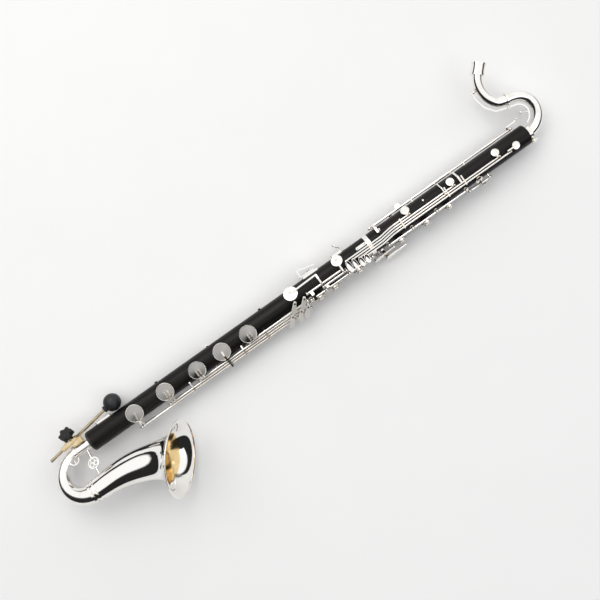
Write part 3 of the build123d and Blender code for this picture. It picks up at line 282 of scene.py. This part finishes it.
def grained(name, dark, light, scale, rough, depth, specular=0.5):
    """Plain moulded, sawn or cut stuff: two tones in fine grains with matching relief."""
    shade = Shader(name, Specular_IOR_Level=specular)
    grain = shade.noise(scale, 4, 0.6)
    patch = shade.noise(scale / 12, 3)
    base = shade.blend(shade.span(grain, 0.35, 0.7), dark, light)
    matt = shade.span(grain, 0.4, 0.8, 0.0, 0.08)
    gloss = shade.math("ADD", shade.span(patch, 0.3, 0.75, rough, rough + 0.1), matt)
    return shade.put(Base_Color=base, Roughness=gloss, Normal=shade.bump(grain, depth))


def drawn_metal(name, base_a, base_b, rough):
    """Drawn rod: fine lines along the bore."""
    shade = Shader(name, Metallic=1.0)
    lines = shade.noise(1400, 3, 0.6, shade.stretched(0.02, 1, 1))
    cloud = shade.noise(60, 3)
    base = shade.blend(shade.span(cloud, 0.35, 0.75), base_a, base_b)
    gloss = shade.span(lines, 0.35, 0.75, rough, rough + 0.12)
    return shade.put(Base_Color=base, Roughness=gloss, Normal=shade.bump(lines, 0.01))


plate_silver = silver("silver_plate")
# The keywork's brassy painted shade reaches 8 mm, so it also falls on the sides of rods and keys that face
# the body; partly tarnish.
key_silver = silver("silver_keywork", rough=0.11, spread=0.09, shade_and_tarnish=1.0, reach=8.0)
wood = blackwood("dark_wood")
end_black = grained("blackened_ring", rgb(0.006, 0.006, 0.006), rgb(0.02, 0.019, 0.018), 900, 0.22, 0.01)
rubber = grained("rubber", rgb(0.008, 0.009, 0.010), rgb(0.020, 0.021, 0.023), 700, 0.42, 0.03, 0.42)
knob_black = grained("black_plastic", rgb(0.004, 0.004, 0.0045), rgb(0.012, 0.012, 0.013), 500, 0.16, 0.02)
cork = grained("cork", rgb(0.22, 0.12, 0.055), rgb(0.58, 0.40, 0.23), 420, 0.75, 0.12, 0.2)
steel = drawn_metal("steel", rgb(0.62, 0.60, 0.57), rgb(0.48, 0.45, 0.41), 0.18)
blued = drawn_metal("blued_steel", rgb(0.05, 0.07, 0.14), rgb(0.09, 0.08, 0.12), 0.2)
# Peg rod: its brown tones are a painted reflection of the dark wood body.
peg_painted_reflection = drawn_metal("peg_painted_reflection", rgb(0.58, 0.49, 0.33), rgb(0.34, 0.26, 0.15), 0.14)
brass = drawn_metal("warm_brass", rgb(0.78, 0.64, 0.42), rgb(0.60, 0.42, 0.20), 0.14)
pad_skin = grained("pad_skin", rgb(0.62, 0.50, 0.34), rgb(0.80, 0.70, 0.54), 1100, 0.55, 0.04, 0.35)

SLOT_MATERIALS = {
    "silver_plate": plate_silver,
    "silver_keywork": key_silver,
    "dark_wood": wood,
    "blackened_ring": end_black,
    "cork": cork,
    "steel": steel,
    "warm_brass": brass,
    "rubber": rubber,
    "black_plastic": knob_black,
}


def dress(node, material):
    """Gives a CAD node one material in all of its slots."""
    mesh = nodes[node].data
    if not mesh.materials:
        mesh.materials.append(material)
    for index in range(len(mesh.materials)):
        mesh.materials[index] = material


for subpart in frame["record"]["subparts"]:
    dress(subpart["node"], SLOT_MATERIALS[subpart["material_slot"]])

# ---- cups: station, angle, radius; and the hinge and angle of those that stand open ----
LOW_CUPS = {
    "low_c_key": (101.3, 9, 15.7),
    "low_c_sharp_key": (165.8, 9, 15.7),
    "low_d_key": (232.5, 9, 15.7),
    "low_e_flat_key": (285.3, 9, 15.7),
    "low_e_key": (340.0, 9, 15.7),
}
for key_name, (s, angle, radius) in LOW_CUPS.items():
    dress(key_name, spun_cup("spun_" + key_name, s, angle, radius))
dress("peg_rod", peg_painted_reflection)

# ---- the bell's mouth and the hub of the arc that the flare follows ----
turned = radians(FLARE_TURN)
mouth_run = FLARE_START + FLARE_STRAIGHT + FLARE_ARC_R * sin(turned)
mouth_drop = BOW_DROP + FLARE_ARC_R * (1 - cos(turned))
mouth = at(0, 0, 0) + bell_vector(mouth_run, mouth_drop) * MM
forward = bell_vector(cos(turned), sin(turned))
hub = at(0, 0, 0) + bell_vector(FLARE_START + FLARE_STRAIGHT, BOW_DROP + FLARE_ARC_R) * MM
side = forward.cross(hub - mouth).normalized()
dress("bell_flare", bell_silver("bell_silver", mouth, forward, hub, side))

# ---- camera: straight above, the bore running up to the right ----
VIEW_TURN = -35.26
VIEW_HEIGHT = 1460.0
camera_data = bpy.data.cameras.new("view")
camera_data.lens = 50
camera_data.sensor_width = 36
camera_data.clip_end = 20
camera = bpy.data.objects.new("view", camera_data)
camera.location = at(447.0, -8.8, VIEW_HEIGHT)
camera.rotation_euler = (0, 0, radians(VIEW_TURN))
bpy.context.scene.collection.objects.link(camera)
bpy.context.scene.camera = camera
IMAGE_RIGHT = Vector((cos(radians(VIEW_TURN)), sin(radians(VIEW_TURN)), 0))
IMAGE_UP = Vector((-IMAGE_RIGHT.y, IMAGE_RIGHT.x, 0))

# ---- pale floor ----
floor_mesh = bpy.data.meshes.new("floor")
FLOOR = 4.0
FLOOR_GAP = 0.0002
corners = [(-FLOOR, -FLOOR, 0), (FLOOR, -FLOOR, 0), (FLOOR, FLOOR, 0), (-FLOOR, FLOOR, 0)]
floor_mesh.from_pydata(corners, [], [(0, 1, 2, 3)])
floor = bpy.data.objects.new("floor", floor_mesh)
bpy.context.scene.collection.objects.link(floor)
floor.location.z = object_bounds()[0][2] - FLOOR_GAP
paper = Shader("paper", Roughness=0.8, Specular_IOR_Level=0.2)
tooth = paper.noise(6, 3)
paper.put(Base_Color=paper.blend(tooth, rgb(0.89, 0.89, 0.89), rgb(0.92, 0.92, 0.92)))
floor_mesh.materials.append(paper.material)


# ---- soft studio light ----
def area_light(name, place, width, height, power, colour):
    """Rectangular lamp that looks at the middle of the floor."""
    data = bpy.data.lights.new(name, "AREA")
    data.shape = "RECTANGLE"
    data.size = width
    data.size_y = height
    data.energy = power
    data.color = colour
    lamp = bpy.data.objects.new(name, data)
    lamp.location = place
    lamp.rotation_euler = (-place).to_track_quat("-Z", "Y").to_euler()
    bpy.context.scene.collection.objects.link(lamp)


key_place = IMAGE_UP * 1.1 - IMAGE_RIGHT * 0.9 + Vector((0, 0, 2.1))
area_light("key", key_place, 2.0, 1.6, 20, (1.0, 0.985, 0.96))
fill_place = IMAGE_UP * -0.6 + IMAGE_RIGHT * 1.6 + Vector((0, 0, 1.9))
area_light("fill", fill_place, 1.2, 1.0, 4, (0.96, 0.98, 1.0))

# The sky is bright overhead and towards the top of the picture, and dark lower down.
world = bpy.data.worlds.new("studio")
bpy.context.scene.world = world
world.use_nodes = True
sky = world.node_tree
background = sky.nodes["Background"]
sky_coords = sky.nodes.new("ShaderNodeTexCoord")
tilt = sky.nodes.new("ShaderNodeVectorMath")
tilt.operation = "DOT_PRODUCT"
tilt.inputs[1].default_value = Vector((0, 0, 1)) + IMAGE_UP * 0.55
sky.links.new(sky_coords.outputs["Generated"], tilt.inputs[0])
ceiling = sky.nodes.new("ShaderNodeValToRGB")
sky.links.new(tilt.outputs["Value"], ceiling.inputs[0])
STOPS = ((0.0, 0.02), (0.46, 0.02), (0.56, 1.0), (1.0, 1.0))
while len(ceiling.color_ramp.elements) < len(STOPS):
    ceiling.color_ramp.elements.new(0.5)
for element, (position, level) in zip(ceiling.color_ramp.elements, STOPS):
    element.position = position
    element.color = rgb(level, level, level)
sky.links.new(ceiling.outputs[0], background.inputs["Color"])
background.inputs["Strength"].default_value = 1.05
bpy.context.scene.view_settings.view_transform = "Standard"


# ---- mesh helpers ----
def basis(axis, origin):
    """Matrix whose z runs along axis, for pieces made upright at the origin."""
    turn = Vector(axis).to_track_quat("Z", "Y").to_matrix().to_4x4()
    return Matrix.Translation(origin) @ turn


def about(hinge, angle):
    """Turn about a hinge line that lies along the bore."""
    pivot = at(0, *hinge)
    turn = Matrix.Rotation(radians(angle), 4, "X")
    return Matrix.Translation(pivot) @ turn @ Matrix.Translation(-pivot)


def lathe(shape, profile, place, segments):
    """Turns (radius, height) points in millimetres about z, closed at radius 0, into shape."""
    rings = []
    for radius, height in profile:
        if radius == 0:
            rings.append([shape.verts.new(place @ Vector((0, 0, height * MM)))])
            continue
        ring = []
        for step in range(segments):
            turn = 2 * pi * step / segments
            spot = Vector((radius * MM * cos(turn), radius * MM * sin(turn), height * MM))
            ring.append(shape.verts.new(place @ spot))
        rings.append(ring)
    for low, high in zip(rings, rings[1:]):
        for step in range(segments):
            nxt = (step + 1) % segments
            quad = [low[step % len(low)], low[nxt % len(low)]]
            quad += [high[nxt % len(high)], high[step % len(high)]]
            shape.faces.new(list(dict.fromkeys(quad)))


def tube(shape, points, radii, segments):
    """Closed round bar through points in metres, with a radius in millimetres at each."""
    rings = []
    for index, point in enumerate(points):
        ahead = points[min(index + 1, len(points) - 1)] - points[max(index - 1, 0)]
        place = basis(ahead, point)
        ring = []
        for step in range(segments):
            turn = 2 * pi * step / segments
            spot = Vector((radii[index] * MM * cos(turn), radii[index] * MM * sin(turn), 0))
            ring.append(shape.verts.new(place @ spot))
        rings.append(ring)
    for low, high in zip(rings, rings[1:]):
        for step in range(segments):
            nxt = (step + 1) % segments
            shape.faces.new([low[step], low[nxt], high[nxt], high[step]])
    shape.faces.new(list(reversed(rings[0])))
    shape.faces.new(rings[-1])


def piece(name, shape, material, body, sharp):
    """Turns a bmesh into an object that rides on a body, with edges over sharp degrees crisp."""
    bmesh.ops.recalc_face_normals(shape, faces=shape.faces)
    mesh = bpy.data.meshes.new(name)
    shape.to_mesh(mesh)
    shape.free()
    mesh.materials.append(material)
    mesh.shade_smooth()
    mesh.set_sharp_from_angle(angle=radians(sharp))
    made = bpy.data.objects.new(name, mesh)
    bpy.context.scene.collection.objects.link(made)
    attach(made, body)


# ---- leather pads in the cups ----
SIDE_CUPS = {
    "f_key": (439.8, -23, 12.9),
    "b_key": (537.6, -24, 10.2),
    "trill_key_1": (684.0, -32, 8.0),
    "trill_key_2": (775.8, -20, 7.3),
    "trill_key_3": (868.0, -11, 7.0),
    "trill_key_4": (905.0, 14, 7.0),
    "throat_key": (821.0, 47, 7.0),
    "left_side_key": (745.0, 165, 8.5),
}
PLATE_CUPS = {
    "right_ring_plate": (479.0, 92, 11.0),
    "right_middle_plate": (510.0, 92, 11.0),
    "right_index_plate": (562.0, 92, 10.5),
    "left_ring_plate": (652.0, 92, 10.5),
    "left_middle_plate": (706.0, 92, 10.0),
    "left_index_plate": (754.0, 92, 9.5),
}
SHUT = ((0, 0), 0.0)
OPENED = {"low_d_key": ((-22.3, 9.3), PRESS), "low_e_key": ((-18.0, 13.6), PRESS)}
OPENED.update({plate: ((-20.6, 13.8), -PRESS) for plate in PLATE_CUPS})
PAD_CLEAR = 0.12
PAD_TOP = CUP_LIFT + PAD_RECESS - 0.1
PAD_SEGMENTS = 40

for key_name, (s, angle, radius) in {**LOW_CUPS, **SIDE_CUPS, **PLATE_CUPS}.items():
    rim = radius - 0.95
    profile = [(0, PAD_TOP), (rim - 0.4, PAD_TOP), (rim, PAD_TOP - 0.4), (rim, CUP_LIFT)]
    profile += [(rim - 0.25, PAD_CLEAR + 0.45), (rim - 0.9, PAD_CLEAR), (rim * 0.62, PAD_CLEAR + 0.1)]
    profile += [(rim * 0.5, PAD_CLEAR + 0.3), (rim * 0.2, PAD_CLEAR + 0.3), (0, PAD_CLEAR + 0.25)]
    pad = bmesh.new()
    seat = basis(outwards(angle), at(s, 0, 0) + outwards(angle) * SEAT_R * MM)
    lathe(pad, profile, about(*OPENED.get(key_name, SHUT)) @ seat, PAD_SEGMENTS)
    piece(key_name + "_pad", pad, pad_skin, key_name, 60)


# ---- slotted screws, rod ends and needle springs ----
HALF_POINTS = 9
HEAD_SEGMENTS = 20


def screw_head(shape, place, radius, height, slot_width=0.22):
    """Two halves of a domed head with a slot between them, over a full base."""
    base = height * 0.45
    lathe(shape, [(0, 0), (radius, 0), (radius, base), (0, base)], place, HEAD_SEGMENTS)
    half = radius * slot_width
    for side in (1, -1):
        rings = []
        for level, shrink in ((height * 0.44, 1.0), (height * 0.8, 0.94), (height, 0.72)):
            start = asin(min(0.9, half / (radius * shrink)))
            ring = []
            for step in range(HALF_POINTS):
                turn = start + (pi - 2 * start) * step / (HALF_POINTS - 1)
                reach = radius * shrink
                spot = Vector((reach * cos(turn), side * reach * sin(turn), level)) * MM
                ring.append(shape.verts.new(place @ spot))
            rings.append(ring)
        for low, high in zip(rings, rings[1:]):
            for step in range(HALF_POINTS):
                nxt = (step + 1) % HALF_POINTS
                shape.faces.new([low[step], low[nxt], high[nxt], high[step]])
        shape.faces.new(rings[0])
        shape.faces.new(rings[-1])


NUT_SINK = 0.15
for key_name in ("f_key", "b_key"):
    s, angle, radius = SIDE_CUPS[key_name]
    crown = SEAT_R + CUP_LIFT + CUP_SKIRT + radius / 10
    spot = at(s, 0, 0) + outwards(angle) * (crown - NUT_SINK) * MM
    nut = bmesh.new()
    screw_head(nut, basis(outwards(angle), spot), radius * 0.19, 1.0)
    piece(key_name + "_nut", nut, steel, key_name, 35)

# Plate screws: station, back, up, direction, radius, height.
BACK = (0, 1, 0)
UP = (0, 0, 1)
PLATE_SCREWS = (
    (474.5, 21.0, -4.0, BACK, 1.9, 1.1), (501.5, 21.0, -4.0, BACK, 1.9, 1.1),
    (536.5, 22.2, 0, BACK, 1.6, 1.1), (560.0, 22.2, 0, BACK, 1.6, 1.1),
    (36.0, 22.55, 0, BACK, 1.9, 1.0), (54.0, 22.55, 0, BACK, 1.9, 1.0),
    (579.5, 6.4, 20.55, UP, 1.5, 0.9), (593.5, 6.4, 20.55, UP, 1.5, 0.9),
)
fixings = bmesh.new()
for s, back, up, facing, radius, height in PLATE_SCREWS:
    screw_head(fixings, basis(facing, at(s, back, up)), radius, height)

# Hinge rods: (back, up), first and last station of the tube.
HINGE_ENDS = [
    ((-30.9, 0.9), 97.3, 421.0), ((-26.6, 5.1), 161.8, 437.0), ((-22.3, 9.3), 228.5, 444.0),
    ((-31.0, -6.8), 281.3, 451.0), ((-18.0, 13.6), 336.0, 453.0), ((-25.0, 5.0), 802.0, 838.0),
    ((23.2, -1.0), 622.0, 917.0), ((-24.0, -24.9), 262.0, 607.0), ((12.0, -24.9), 262.0, 621.0),
    ((12.0, -24.9), 658.0, 846.0),
]
END_REACH = 6.4
END_RADIUS = 1.7
for hinge, start, end in HINGE_ENDS:
    for facing, station in ((-1, start - END_REACH), (1, end + END_REACH)):
        screw_head(fixings, basis((facing, 0, 0), at(station, *hinge)), END_RADIUS, 1.0, 0.18)
piece("fixing_screws", fixings, steel, "body", 35)

SPRING_RADII = (0.4, 0.4, 0.38, 0.36, 0.33, 0.3, 0.25)
SPRING_BOW = 0.5
SPRING_SEGMENTS = 8
springs = bmesh.new()
for hinge, start, end in HINGE_ENDS:
    reach = hypot(*hinge)
    out = Vector((0, hinge[0] / reach, hinge[1] / reach))
    across = out.cross(Vector((1, 0, 0)))
    foot = at(start - 3.5, *hinge) - out * 3.4 * MM
    tip = at(start + 24.0, *hinge) - out * 2.6 * MM + across * 1.2 * MM
    run = []
    for step in range(len(SPRING_RADII)):
        part = step / (len(SPRING_RADII) - 1)
        run.append(foot.lerp(tip, part) - out * SPRING_BOW * MM * sin(pi * part))
    tube(springs, run, SPRING_RADII, SPRING_SEGMENTS)
piece("needle_springs", springs, blued, "body", 60)

# ---- screws on the finger touches of the low keys ----
TOUCHES = {
    "low_c_key": (415, -31, 12.0),
    "low_c_sharp_key": (433, -31.5, 11.5),
    "low_d_key": (431, -12.5, 23.5),
    "low_e_flat_key": (447, -32, 10.5),
    "low_e_key": (449, -15.5, 22.5),
}
TOUCH_TILT = 25
LEAF_TURN = 52
LEAF_TOP = 1.8
STUD_SINK = 0.08
STUD_OUT = 7.6
along = Vector((1, 0, 0))
face = outwards(TOUCH_TILT)
leaf_line = along * cos(radians(LEAF_TURN)) + face.cross(along) * sin(radians(LEAF_TURN))
for key_name, place in TOUCHES.items():
    spot = at(*place) + face * (LEAF_TOP - STUD_SINK) * MM + leaf_line * STUD_OUT * MM
    stud = bmesh.new()
    screw_head(stud, about(*OPENED.get(key_name, SHUT)) @ basis(face, spot), 1.5, 0.8)
    piece(key_name + "_stud", stud, blued, key_name, 35)
